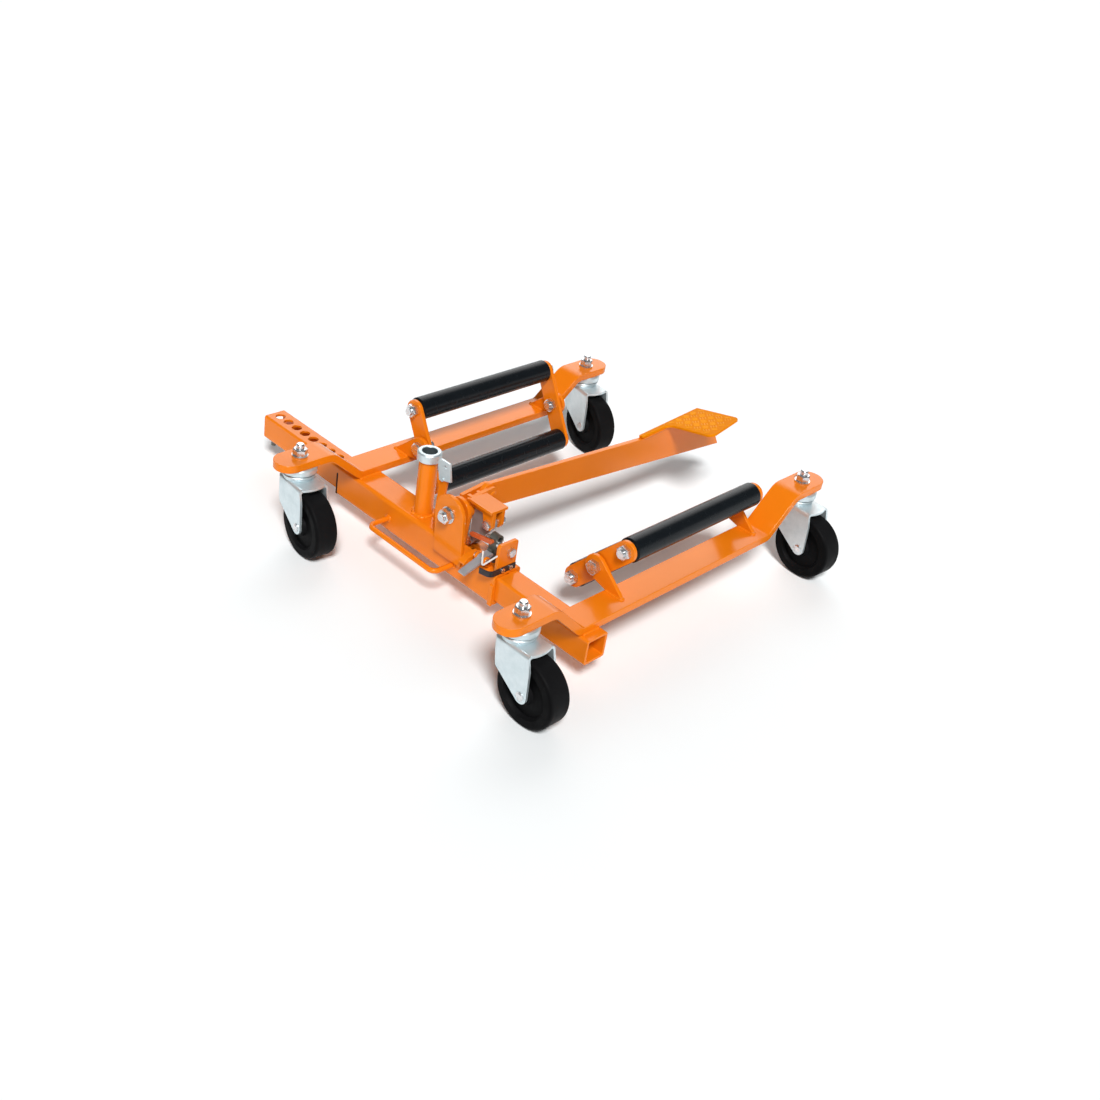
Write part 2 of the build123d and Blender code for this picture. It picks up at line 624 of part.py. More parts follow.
# Drive pawl: tooth to the left of its pin, tail to the right, lifted off the tube
tooth = disc(PAWL_X - PAWL_REACH, pawl_z, PAWL_TIP)
hub = disc(PAWL_X, pawl_z, 8.5)
pawl_face = hull(tooth, disc(PAWL_X, pawl_z, PAWL_ROOT)) + hull(hub, disc(PAWL_X + 13, pawl_z + 6, 5.0))
pawl_face -= disc(PAWL_X, pawl_z, PAWL_PIN / 2 + RUN)
pawl = plate_xz(pawl_face, -PAWL_THICK / 2, PAWL_THICK)
nodes["drive_pawl"] = turn_about_y(pawl, PAWL_X, pawl_z, -PAWL_REST)

# Pedal lever with its tread plate, folded down toward +Y
rise = math.tan(math.radians(TREAD_RISE))
tread_stop = TREAD_START + 0.97 * TREAD_LONG
web = outline(
    (FOLD_Y, fold_z + LEVER_ROOT),
    (TREAD_START, TREAD_HIGH),
    (tread_stop, TREAD_HIGH + rise * (tread_stop - TREAD_START)),
    (tread_stop + 5, TREAD_HIGH + 6),
    (LEVER_END - 10, LEVER_LOW + 16),
    (LEVER_END, LEVER_LOW),
    (FOLD_Y + 33, fold_z - 28),
    (FOLD_Y + 8, fold_z - LEVER_ROOT + 1.0),
)
web += disc(FOLD_Y, fold_z, LEVER_ROOT)
web -= disc(FOLD_Y, fold_z, FOLD_PIN / 2 + RUN)
nodes["lever"] = plate_yz(web, MAIN_X - LEVER_THICK / 2, LEVER_THICK)

tread = outline(
    (0, 4),
    (TREAD_LONG, 4),
    (TREAD_LONG + 2, -TREAD_WIDE + 6),
    (TREAD_NECK, -TREAD_WIDE - 6),
    (TREAD_NECK, -5),
    (0, -4),
)
tread = fillet([v for v in tread.vertices() if v.Y < -TREAD_WIDE / 2], 11.0)
tread = fillet([v for v in tread.vertices() if abs(v.Y + 5) < 0.1], 14.0)
roll = math.radians(TREAD_ROLL)
pitch = math.radians(TREAD_RISE)
seat = Plane(
    origin=(MAIN_X, TREAD_START, TREAD_HIGH + 4.2 * math.sin(roll)),
    x_dir=(0, math.cos(pitch), math.sin(pitch)),
    z_dir=(
        -math.sin(roll) * math.cos(pitch),
        -math.cos(roll) * math.sin(pitch),
        math.cos(roll) * math.cos(pitch),
    ),
)
nodes["tread_plate"] = extrude(seat * tread, amount=TREAD_THICK)

fold_long = 2 * gap + 2 * PLATE
peened = turned((0, 0), (FOLD_PIN / 2 + 1.5, 0), (FOLD_PIN / 2, 1.2), (0, 1.2))
fold = bolt(FOLD_PIN, fold_long, 6.0) + Pos(0, 0, fold_long) * peened
nodes["fold_pin"] = along_x(MAIN_X - gap - PLATE, FOLD_Y, fold_z, fold)

# End plate, guide bolt, holding pawl
end_face = Pos(END_PLATE_Y, sleeve_top + END_PLATE_HIGH / 2) * Rectangle(END_PLATE_WIDE, END_PLATE_HIGH)
end_face = fillet(end_face.vertices().group_by(Axis.Y)[-1], 4.0)
end_face -= disc(0, guide_z, GUIDE_BOLT / 2 + RUN)
nodes["end_plate"] = plate_yz(end_face, END_PLATE_X, PLATE)
hold_left = hold_x - HOLD_DEEP / 2
hold_right = hold_x + HOLD_DEEP / 2
guide_from = END_PLATE_X + PLATE
guide_long = guide_from - hold_left + 10.0
guide = Pos(guide_from, 0, guide_z) * Rot(0, -90, 0) * bolt(GUIDE_BOLT, guide_long, 5.5)
spacer_from = hold_right + SIDE
spacer = tube(14.0, GUIDE_BOLT + 2 * RUN, END_PLATE_X - spacer_from)
spacer = along_x(spacer_from, 0, guide_z, spacer)
guide_nut = Pos(hold_left - SIDE, 0, guide_z) * Rot(0, -90, 0) * nut(GUIDE_BOLT, 6.5)
nodes["guide_bolt"] = Compound([guide, spacer, guide_nut])

hold_top = guide_z + HOLD_TRAVEL + 7.0
block_low = sleeve_top + HOLD_TRAVEL + 1.0
crown = disc(0, hold_top - HOLD_WIDE / 2, HOLD_WIDE / 2)
block = hull(crown, Pos(0, block_low + 2) * Rectangle(HOLD_WIDE, 4))
slot = Pos(0, guide_z + HOLD_TRAVEL / 2) * Rectangle(GUIDE_BOLT + 2 * RUN, HOLD_TRAVEL)
slot += disc(0, guide_z, GUIDE_BOLT / 2 + RUN) + disc(0, guide_z + HOLD_TRAVEL, GUIDE_BOLT / 2 + RUN)
holding_pawl = plate_yz(block - slot, hold_left, HOLD_DEEP)
hold_tip = tube_top + LIFT - 0.5
holding_pawl += Pos(hold_x, 0, hold_tip) * rod(HOLD_PIN, block_low + 1 - hold_tip)
tilt_up = 0.2588
finger_y = RELEASE_Y + RELEASE_ARM * 0.9659
finger_z = release_z + RELEASE_ARM * tilt_up
lift_y = finger_y + LIFT_AHEAD
lift_z = finger_z + math.sqrt((FINGER + LIFT_GAP + LIFT_PIN / 2) ** 2 - LIFT_AHEAD ** 2)
lifter = disc(lift_y, lift_z, LIFT_PIN / 2) + Pos(lift_y / 2, lift_z) * Rectangle(-lift_y, LIFT_PIN)
holding_pawl += plate_yz(lifter, hold_x - 4, 8.0)
nodes["holding_pawl"] = holding_pawl
arm_root = disc(hold_x, sleeve_top + LIFT_ARM_HIGH + LIFT_ARM_RISE, 3.0)
lift_face = hull(disc(LIFT_ARM_X, sleeve_top + LIFT_ARM_HIGH, 3.0), arm_root)
arm_rear = -HOLD_WIDE / 2 - LIFT_ARM_OFF
lift_arm = plate_xz(lift_face, arm_rear - LIFT_ARM_THICK, LIFT_ARM_THICK)
nodes["lift_arm"] = lift_arm + plate_xz(arm_root, arm_rear, LIFT_ARM_OFF)

# Release lever on its two lugs
finger = hull(disc(RELEASE_Y, release_z, RELEASE_HUB), disc(finger_y, finger_z, FINGER))
blade_end = disc(RELEASE_Y - 36, release_z - 11, 2.0)
blade = hull(disc(RELEASE_Y - 3, release_z - 1, 2.5), blade_end)
lever_face = finger + blade - disc(RELEASE_Y, release_z, RELEASE_PIN / 2 + RUN)
nodes["release_lever"] = plate_yz(lever_face, hold_x - RELEASE_WIDE / 2, RELEASE_WIDE)
lug = hull(disc(RELEASE_Y, release_z, 6.0), Pos(RELEASE_Y + 9.0, sleeve_top + 1) * Rectangle(9.0, 2.0))
lug -= disc(RELEASE_Y, release_z, RELEASE_PIN / 2 + RUN)
lug_left = hold_x - RELEASE_WIDE / 2 - SIDE - 4.0
lug_right = hold_x + RELEASE_WIDE / 2 + SIDE
guard = outline(
    (-10, sleeve_top),
    (-10, sleeve_top + 9),
    (-33, sleeve_top + 7),
    (-40, sleeve_top + 1),
    (-40, sleeve_top - 3),
    (front_face - 0.5, sleeve_top),
)
nodes["release_lugs"] = Compound([
    plate_yz(lug, lug_left, 4.0),
    plate_yz(lug, lug_right, 4.0),
    plate_yz(guard, lug_left - 18.0, 11.0),
])
pin_span = lug_right + 4.0 - lug_left
release_pin = rod(RELEASE_PIN, pin_span)
release_pin += Pos(0, 0, -2.0) * rod(9.0, 2.0)
release_pin += Pos(0, 0, pin_span) * rod(9.0, 2.0)
nodes["release_pin"] = along_x(lug_left, RELEASE_Y, release_z, release_pin)

# Leaf spring strip riveted to the end plate, and the wire hook in front of it
leaf_x = guide_from + 0.75
leaf_z = sleeve_top + 5.5
leaf_front = END_PLATE_Y - END_PLATE_WIDE / 2
strip_path = FilletPolyline(
    (leaf_x, leaf_front + END_PLATE_WIDE - 1, leaf_z),
    (leaf_x, leaf_front - 13, leaf_z),
    (leaf_x - 18, leaf_front - 17, leaf_z),
    radius=9.0,
)
strip_start = Plane(strip_path @ 0, x_dir=(0, 0, 1), z_dir=(0, -1, 0))
nodes["leaf_spring"] = sweep(strip_start * Rectangle(9.0, 1.5), path=strip_path)
rivets = [along_x(guide_from + 1.5, y, leaf_z, rod(7.0, 1.5)) for y in (-12.0, 3.0)]
nodes["leaf_rivets"] = Compound(rivets)
hook_path = FilletPolyline(
    (END_PLATE_X + 3.0, leaf_front - 1.0, guide_z),
    (hold_x + 13.5, leaf_front - 10.0, sleeve_top + 12.0),
    (hold_x + 12.0, leaf_front - 10.0, sleeve_top + 29.0),
    radius=3.0,
)
nodes["wire_hook"] = sweep(Plane(hook_path @ 0, z_dir=hook_path % 0) * Circle(1.0), path=hook_path)

# Put the origin under the middle of the overall box and write one file per node
whole = Compound(list(nodes.values())).bounding_box()
shift = Pos(-(whole.min.X + whole.max.X) / 2, -(whole.min.Y + whole.max.Y) / 2, -whole.min.Z)
os.makedirs("parts", exist_ok=True)
for name, shape in nodes.items():
    export_step(shift * shape, "parts/" + name + ".step")
print("nodes", len(nodes), "shift", tuple(round(v, 4) for v in shift.position))
print("size", round(whole.size.X, 2), round(whole.size.Y, 2), round(whole.size.Z, 2))
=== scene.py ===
"""Looks of the vehicle positioning dolly: finishes, weld beads, threads, tread pattern, light and camera.

Metres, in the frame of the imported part: +X along the crossbar, +Y along the arms, +Z up.
Added pieces are drawn in millimetres from the middle between the arms on the axis of the crossbar.
"""
import json
import math

import bpy
from mathutils import Matrix, Vector


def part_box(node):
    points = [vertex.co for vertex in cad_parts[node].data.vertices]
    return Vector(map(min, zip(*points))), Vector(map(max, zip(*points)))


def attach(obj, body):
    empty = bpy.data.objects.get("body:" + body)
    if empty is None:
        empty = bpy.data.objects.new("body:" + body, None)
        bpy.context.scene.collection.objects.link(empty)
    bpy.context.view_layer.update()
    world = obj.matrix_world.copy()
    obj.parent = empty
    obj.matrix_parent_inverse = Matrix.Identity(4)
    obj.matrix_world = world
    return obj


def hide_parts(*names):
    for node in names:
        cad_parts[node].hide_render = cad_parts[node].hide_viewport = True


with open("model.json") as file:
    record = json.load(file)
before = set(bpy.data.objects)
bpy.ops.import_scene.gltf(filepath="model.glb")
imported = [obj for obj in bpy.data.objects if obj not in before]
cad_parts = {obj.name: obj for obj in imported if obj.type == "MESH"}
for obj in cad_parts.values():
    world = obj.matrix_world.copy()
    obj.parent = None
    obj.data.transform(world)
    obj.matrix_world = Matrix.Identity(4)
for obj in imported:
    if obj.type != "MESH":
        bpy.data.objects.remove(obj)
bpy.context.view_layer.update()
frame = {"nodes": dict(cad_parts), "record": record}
nodes = frame["nodes"]
MM = 0.001

# Origin of the drawing millimetres, read from the frame
tube_low, tube_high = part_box("inner_tube")
arm_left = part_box("left_arm")[0].x
arm_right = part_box("right_arm")[1].x
drawing = Vector(((arm_left + arm_right) / 2, (tube_low.y + tube_high.y) / 2, 0))


def drawn_box(node):
    """Low and high corner of a CAD node in drawing millimetres, to the nearest tenth."""
    return [Vector([round(value / MM, 1) for value in corner - drawing]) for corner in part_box(node)]


def drawn_middle(node):
    """Middle of a CAD node's box in drawing millimetres."""
    low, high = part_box(node)
    return ((low + high) / 2 - drawing) / MM


# Colour sockets of the Mix node, which has a set of equally named ones for each type of data
MIX_FIRST = 6
MIX_SECOND = 7
MIX_RESULT = 2


# Helpers for node materials
def shader_tree(name):
    """A material with one Principled shader and object coordinates in metres."""
    material = bpy.data.materials.new(name)
    material.use_nodes = True
    tree = material.node_tree
    shader = tree.nodes["Principled BSDF"]
    place = tree.nodes.new("ShaderNodeTexCoord").outputs["Object"]
    return material, tree, shader, place


def noise(tree, place, scale, detail=3.0, roughness=0.55):
    """Noise between 0 and 1; the scale counts its cells per metre."""
    node = tree.nodes.new("ShaderNodeTexNoise")
    node.inputs["Scale"].default_value = scale
    node.inputs["Detail"].default_value = detail
    node.inputs["Roughness"].default_value = roughness
    tree.links.new(place, node.inputs["Vector"])
    return node.outputs["Fac"]


def stretched(tree, place, scale):
    """Coordinates with each axis multiplied by its own scale."""
    node = tree.nodes.new("ShaderNodeMapping")
    node.inputs["Scale"].default_value = scale
    tree.links.new(place, node.inputs["Vector"])
    return node.outputs["Vector"]


def ramp(tree, value, *stops):
    """Colour ramp; each stop is a position and an RGB colour."""
    node = tree.nodes.new("ShaderNodeValToRGB")
    elements = node.color_ramp.elements
    while len(elements) < len(stops):
        elements.new(0.5)
    for element, (position, colour) in zip(elements, stops):
        element.position = position
        element.color = (*colour, 1.0)
    tree.links.new(value, node.inputs["Fac"])
    return node.outputs["Color"]


def spread(tree, value, low, high, start=0.3, stop=0.7):
    """Maps start to stop onto low to high."""
    node = tree.nodes.new("ShaderNodeMapRange")
    node.inputs["From Min"].default_value = start
    node.inputs["From Max"].default_value = stop
    node.inputs["To Min"].default_value = low
    node.inputs["To Max"].default_value = high
    tree.links.new(value, node.inputs["Value"])
    return node.outputs["Result"]


def bump(tree, shader, height, strength, distance):
    """Roughens the shader's surface by a height socket."""
    node = tree.nodes.new("ShaderNodeBump")
    node.inputs["Strength"].default_value = strength
    node.inputs["Distance"].default_value = distance
    tree.links.new(height, node.inputs["Height"])
    tree.links.new(node.outputs["Normal"], shader.inputs["Normal"])


def edge_highlight_mask(tree, radius):
    """1 along edges, 0 on flats; it places the painted highlight on the edges."""
    bevel = tree.nodes.new("ShaderNodeBevel")
    bevel.samples = 4
    bevel.inputs["Radius"].default_value = radius
    geometry = tree.nodes.new("ShaderNodeNewGeometry")
    dot = tree.nodes.new("ShaderNodeVectorMath")
    dot.operation = "DOT_PRODUCT"
    tree.links.new(bevel.outputs["Normal"], dot.inputs[0])
    tree.links.new(geometry.outputs["Normal"], dot.inputs[1])
    return spread(tree, dot.outputs["Value"], low=1.0, high=0.0, start=0.75, stop=0.99)


def blend(tree, factor, first, second):
    """Mixes a colour socket with an RGB colour."""
    node = tree.nodes.new("ShaderNodeMix")
    node.data_type = "RGBA"
    tree.links.new(factor, node.inputs["Factor"])
    tree.links.new(first, node.inputs[MIX_FIRST])
    node.inputs[MIX_SECOND].default_value = (*second, 1.0)
    return node.outputs[MIX_RESULT]


# Finishes
def paint(name, dark, light, edge_highlight, coat=0.15, rough=0.16, gloss=0.25):
    """Gloss powder coat: faint mottle, orange peel and a painted highlight, a paler colour along the edges.
    """
    material, tree, shader, place = shader_tree(name)
    mottle = ramp(tree, noise(tree, place, scale=9.0, detail=4.0), (0.3, dark), (0.7, light))
    # Painted highlight: the edges get the paler edge colour
    colour = blend(tree, edge_highlight_mask(tree, radius=1.0 * MM), mottle, edge_highlight)
    tree.links.new(colour, shader.inputs["Base Color"])
    roughness = spread(tree, noise(tree, place, scale=40.0), low=rough, high=rough + 0.06)
    tree.links.new(roughness, shader.inputs["Roughness"])
    shader.inputs["Specular IOR Level"].default_value = gloss
    shader.inputs["Specular Tint"].default_value = (1.0, 0.85, 0.55, 1.0)
    shader.inputs["Coat Weight"].default_value = coat
    shader.inputs["Coat Roughness"].default_value = 0.12
    peel = noise(tree, place, scale=420.0, detail=2.0)
    bump(tree, shader, peel, strength=0.05, distance=0.4 * MM)
    return material


def plated(name, dark, light, rough, metallic):
    """Plated or bare steel: cloudy crystals and a fine rolling grain."""
    material, tree, shader, place = shader_tree(name)
    crystals = noise(tree, place, scale=60.0, detail=5.0, roughness=0.65)
    tree.links.new(ramp(tree, crystals, (0.3, dark), (0.7, light)), shader.inputs["Base Color"])
    shader.inputs["Metallic"].default_value = metallic
    roughness = spread(tree, noise(tree, place, scale=220.0), low=rough - 0.08, high=rough + 0.1)
    tree.links.new(roughness, shader.inputs["Roughness"])
    grain = noise(tree, stretched(tree, place, (900.0, 900.0, 90.0)), scale=1.0, detail=2.0)
    bump(tree, shader, grain, strength=0.08, distance=0.3 * MM)
    return material


def moulded(name, side, face, rough, gloss):
    """Black moulding, a little paler on the running face, whose normal is square to the Y axis."""
    material, tree, shader, place = shader_tree(name)
    coordinates = tree.nodes.new("ShaderNodeTexCoord")
    parts = tree.nodes.new("ShaderNodeSeparateXYZ")
    tree.links.new(coordinates.outputs["Normal"], parts.inputs["Vector"])
    size = tree.nodes.new("ShaderNodeMath")
    size.operation = "ABSOLUTE"
    tree.links.new(parts.outputs["Y"], size.inputs[0])
    clean = ramp(tree, size.outputs["Value"], (0.35, face), (0.8, side))
    specks = noise(tree, place, scale=35.0, detail=5.0, roughness=0.6)
    dust = spread(tree, specks, low=0.0, high=0.35, start=0.45, stop=0.8)
    dusty = tuple(1.8 * value for value in face)
    tree.links.new(blend(tree, dust, clean, dusty), shader.inputs["Base Color"])
    roughness = spread(tree, noise(tree, place, scale=90.0), low=rough - 0.06, high=rough + 0.08)
    tree.links.new(roughness, shader.inputs["Roughness"])
    shader.inputs["Specular IOR Level"].default_value = gloss
    pores = noise(tree, place, scale=1500.0, detail=2.0)
    bump(tree, shader, pores, strength=0.1, distance=0.3 * MM)
    return material


def with_bore_shade(name, finish, node, radius, colour):
    """A copy of a finish with painted shade: a dark colour inside the bore round the node's vertical axis.
    """
    material = finish.copy()
    material.name = name
    tree = material.node_tree
    shader = tree.nodes["Principled BSDF"]
    outside = shader.inputs["Base Color"].links[0].from_socket
    place = tree.nodes.new("ShaderNodeTexCoord").outputs["Object"]
    low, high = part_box(node)
    middle = (low + high) / 2
    distance = tree.nodes.new("ShaderNodeVectorMath")
    distance.operation = "DISTANCE"
    distance.inputs[1].default_value = (middle.x, middle.y, 0)
    tree.links.new(stretched(tree, place, (1, 1, 0)), distance.inputs[0])
    rim = radius + 0.3 * MM
    bore_shade = spread(tree, distance.outputs["Value"], low=1.0, high=0.0, start=radius, stop=rim)
    tree.links.new(blend(tree, bore_shade, outside, colour), shader.inputs["Base Color"])
    return material


orange = paint(
    "orange_paint", dark=(0.78, 0.187, 0.004), light=(0.84, 0.208, 0.006), edge_highlight=(0.90, 0.29, 0.03),
)
amber = paint(
    "tread_paint", dark=(0.80, 0.235, 0.001), light=(0.86, 0.27, 0.002), edge_highlight=(0.90, 0.34, 0.02),
    coat=0.0, rough=0.45, gloss=0.015,
)
# Paler, yellower paint on the raised tread bars: a painted highlight on them
crest_highlight = paint(
    "tread_crest_highlight", dark=(0.84, 0.30, 0.003), light=(0.89, 0.35, 0.006), edge_highlight=(0.94, 0.46, 0.05),
    coat=0.0, rough=0.4, gloss=0.1,
)
red_orange = paint(
    "lift_paint", dark=(0.58, 0.10, 0.022), light=(0.64, 0.12, 0.03), edge_highlight=(0.80, 0.22, 0.08),
)
zinc = plated(
    "zinc_plate", dark=(0.59, 0.68, 0.71), light=(0.71, 0.79, 0.82), rough=0.4, metallic=0.7,
)
bright = plated(
    "bright_steel", dark=(0.60, 0.61, 0.63), light=(0.80, 0.81, 0.82), rough=0.24, metallic=0.95,
)
lever_grey = plated(
    "release_grey", dark=(0.36, 0.37, 0.39), light=(0.46, 0.47, 0.49), rough=0.45, metallic=0.4,
)
leg_steel = plated(
    "leg_steel", dark=(0.33, 0.29, 0.27), light=(0.42, 0.37, 0.35), rough=0.5, metallic=0.35,
)
pawl_steel = plated(
    "pawl_steel", dark=(0.10, 0.105, 0.09), light=(0.16, 0.165, 0.145), rough=0.42, metallic=0.6,
)
wire_steel = plated(
    "wire_steel", dark=(0.80, 0.79, 0.77), light=(0.90, 0.89, 0.87), rough=0.35, metallic=0.3,
)
leaf_steel = plated(
    "leaf_steel", dark=(0.03, 0.03, 0.035), light=(0.06, 0.06, 0.065), rough=0.38, metallic=0.6,
)
roller_skin = moulded(
    "roller_skin", side=(0.004, 0.005, 0.006), face=(0.006, 0.008, 0.010), rough=0.22, gloss=0.16,
)
wheel_rubber = moulded(
    "wheel_rubber", side=(0.003, 0.003, 0.0033), face=(0.007, 0.007, 0.0075), rough=0.5, gloss=0.04,
)

# Painted shade inside the bores of the collar and the post, which are coloured dark
BORE_RADIUS = 11.3 * MM
collar_zinc = with_bore_shade("collar_zinc", zinc, "collar", BORE_RADIUS, colour=(0.20, 0.25, 0.27))
post_orange = with_bore_shade("post_paint", orange, "collar", BORE_RADIUS, colour=(0.03, 0.035, 0.04))

by_slot = {
    "orange_paint": orange,
    "tread_paint": amber,
    "zinc_plate": zinc,
    "bright_steel": bright,
    "pawl_steel": pawl_steel,
    "roller_skin": roller_skin,
    "wheel_rubber": wheel_rubber,
}
by_node = {
    "collar": collar_zinc,
    "post": post_orange,
    "lift_arm": red_orange,
    "release_lever": lever_grey,
    "rocker_leg": leg_steel,
    "drive_pawl": leg_steel,
    "leaf_spring": leaf_steel,
}
for part in frame["record"]["subparts"]:
    mesh = nodes[part["node"]].data
    mesh.materials.clear()
    mesh.materials.append(by_node.get(part["node"], by_slot[part["material_slot"]]))

# Rounded edges on the CAD nodes, by width in millimetres; split corners are joined first
JOIN_REACH = 0.001 * MM
ROUND_STEPS = 2
SHARP_FROM = math.radians(60)
NODES_BY_ROUNDING = {
    1.0: ("left_arm", "right_arm"),
    0.8: ("lever", "gussets_left", "gussets_right", "links_left", "links_right",
          "front_cheek", "inner_cheek", "end_plate"),
    0.6: ("sleeve", "inner_tube", "tread_plate", "latch_strip", "release_lugs"),
    0.25: ("rocker_leg", "release_lever"),
}
for width, names in NODES_BY_ROUNDING.items():
    for name in names:
        joined = nodes[name].modifiers.new("joined", "WELD")
        joined.merge_threshold = JOIN_REACH
        edges = nodes[name].modifiers.new("edges", "BEVEL")
        edges.width = width * MM
        edges.segments = ROUND_STEPS
        edges.limit_method = "ANGLE"
        edges.angle_limit = SHARP_FROM
        edges.use_clamp_overlap = False
        edges.loop_slide = False
        nodes[name].modifiers.new("shading", "WEIGHTED_NORMAL")

# Helpers for added pieces
X = Vector((1, 0, 0))
Y = Vector((0, 1, 0))
Z = Vector((0, 0, 1))
BEAD_SIDES = 10
ROD_SIDES = 12
LEAST_STEPS = 6


def piece(name, body, material, shape, smooth=True):
    """One object from vertices in drawing millimetres and faces; it rides on a body."""
    vertices, faces = shape
    mesh = bpy.data.meshes.new(name)
    mesh.from_pydata([drawing + vertex * MM for vertex in vertices], [], faces)
    mesh.materials.append(material)
    mesh.polygons.foreach_set("use_smooth", [smooth] * len(mesh.polygons))
    obj = bpy.data.objects.new(name, mesh)
    bpy.context.collection.objects.link(obj)
    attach(obj, body)
    return obj


def skin(shape, rings, closed=False):
    """Quads between rings of equal length, with caps on the ends of an open run."""
    vertices, faces = shape
    first = len(vertices)
    count = len(rings[0])
    for ring in rings:
        vertices.extend(ring)
    bands = len(rings) if closed else len(rings) - 1
    for i in range(bands):
        here = first + i * count
        there = first + (i + 1) % len(rings) * count
        for j in range(count):
            k = (j + 1) % count
            faces.append((here + j, here + k, there + k, there + j))
    if not closed:
        last = first + (len(rings) - 1) * count
        faces.append(tuple(range(first + count - 1, first - 1, -1)))
        faces.append(tuple(range(last, last + count)))


def walked(points, step, closed=False):
    """Evenly spaced places along a polyline, as distance, place and direction, and its length."""
    corners = [Vector(point) for point in points]
    if closed:
        corners.append(corners[0])
    lengths = [(b - a).length for a, b in zip(corners, corners[1:])]
    total = sum(lengths)
    count = max(LEAST_STEPS, round(total / step))
    places = []
    for i in range(count if closed else count + 1):
        run = total * i / count
        left = run
        index = 0
        while index < len(lengths) - 1 and left > lengths[index]:
            left -= lengths[index]
            index += 1
        direction = (corners[index + 1] - corners[index]).normalized()
        places.append((run, corners[index] + direction * left, direction))
    return places, total


def full_turn(count):
    """Evenly spaced angles of one turn."""
    return [2 * math.pi * i / count for i in range(count)]


def around(angle, first, second):
    """Unit direction at an angle from the first of two unit directions toward the second."""
    return math.cos(angle) * first + math.sin(angle) * second


def circle(centre, radius, first, second, count=40):
    """Places round a circle spanned by two unit directions."""
    return [Vector(centre) + radius * around(angle, first, second) for angle in full_turn(count)]


def across_path(direction, up):
    """Two unit directions across a path, the second one on the side of up."""
    side = direction.cross(up).normalized()
    return side, side.cross(direction)


def rod(shape, points, radius, up):
    """A round rod along a path."""
    rings = []
    for _, place, direction in walked(points, 0.8 * radius)[0]:
        side, over = across_path(direction, up)
        rings.append([place + radius * around(angle, side, over) for angle in full_turn(ROD_SIDES)])
    skin(shape, rings)


def bead(shape, points, radius, up, closed=False):
    """A weld bead with overlapping ripples and round ends; its sizes are shares of the radius."""
    places, total = walked(points, 0.4 * radius, closed)
    rings = []
    for run, place, direction in places:
        ripple = abs(math.sin(math.pi * run / (1.3 * radius)))
        wander = math.sin(1.7 * run / radius) * math.sin(0.61 * run / radius)
        swell = 0.84 + 0.24 * ripple + 0.08 * wander
        if not closed:
            from_end = min(run, total - run) / radius
            swell *= math.sqrt(max(0.02, 1 - max(0.0, 1 - from_end) ** 2))
        side, over = across_path(direction, up)
        ring = []
        for angle in full_turn(BEAD_SIDES):
            lag = 0.35 * radius * math.cos(angle) ** 2
            ring.append(place + radius * swell * around(angle, side, over) - lag * direction)
        rings.append(ring)
    skin(shape, rings, closed)


# Weld beads, one piece for each body
welds = {body: ([], []) for body in ("frame", "carriage", "rocker", "lever")}
sleeve_low, sleeve_high = drawn_box("sleeve")
roof = sleeve_high.z


def roof_bead(start, stop, radius):
    """A straight bead on the sleeve roof between two places in X and Y."""
    bead(welds["frame"], [(*start, roof), (*stop, roof)], radius, up=Z)


# Arms on the crossbar
CORNER_CLEAR = 3.0
FRONT_CLEAR = 5.0
for body, arm, carrier in (("frame", "left_arm", "sleeve"), ("carriage", "right_arm", "inner_tube")):
    arm_low, arm_high = drawn_box(arm)
    carrier_half = drawn_box(carrier)[1].y
    front = FRONT_CLEAR - carrier_half
    rear = carrier_half - CORNER_CLEAR
    for x in (arm_low.x, arm_high.x):
        bead(welds[body], [(x, front, arm_low.z), (x, rear, arm_low.z)], radius=2.6, up=Z)

# Gusset feet on the arms, with a thicker bead across the outer end
GUSSET_PLATE = 6.0
GUSSET_OUTER = 8.0
GUSSET_INNER = 21.0
END_OVERRUN = 1.5
for body, side, inward in (("frame", "left", 1), ("carriage", "right", -1)):
    plates_low, plates_high = drawn_box("gussets_" + side)
    arm_x = drawn_middle(side + "_arm").x
    outer = arm_x - inward * GUSSET_OUTER
    inner = arm_x + inward * GUSSET_INNER
    foot = plates_low.z
    for front in (plates_low.y, plates_high.y - GUSSET_PLATE):
        rear = front + GUSSET_PLATE
        outline = [(inner, front, foot), (outer, front, foot), (outer, rear, foot), (inner, rear, foot)]
        bead(welds[body], outline, radius=2.3, up=Z)
        outer_end = [(outer, front - END_OVERRUN, foot), (outer, rear + END_OVERRUN, foot)]
        bead(welds[body], outer_end, radius=3.2, up=Z)

# Post foot, with lumps of a second pass over stretches of the ring
RING_GAP = 0.3
LUMP_GAP = 2.2
LUMP_STRETCHES = ((19, 25), (27, 30), (33, 38), (2, 6))
post_low, post_high = drawn_box("post")
post_radius = (post_high.x - post_low.x) / 2
post_foot = (post_low + post_high) / 2
post_foot.z = roof
bead(welds["frame"], circle(post_foot, post_radius + RING_GAP, X, Y), radius=3.2, up=Z, closed=True)
second_pass = circle(post_foot, post_radius + LUMP_GAP, X, Y)
for start, stop in LUMP_STRETCHES:
    bead(welds["frame"], second_pass[start:stop], radius=3.4, up=Z)

# Handle ends on the sleeve front
HANDLE_GAP = 0.4
handle_low, handle_high = drawn_box("handle")
handle_radius = (handle_high.z - handle_low.z) / 2
for x in (handle_low.x + handle_radius, handle_high.x - handle_radius):
    handle_end = (x, handle_high.y, handle_low.z + handle_radius)
    ring = circle(handle_end, handle_radius + HANDLE_GAP, X, Z, count=24)
    bead(welds["frame"], ring, radius=2.0, up=Y, closed=True)

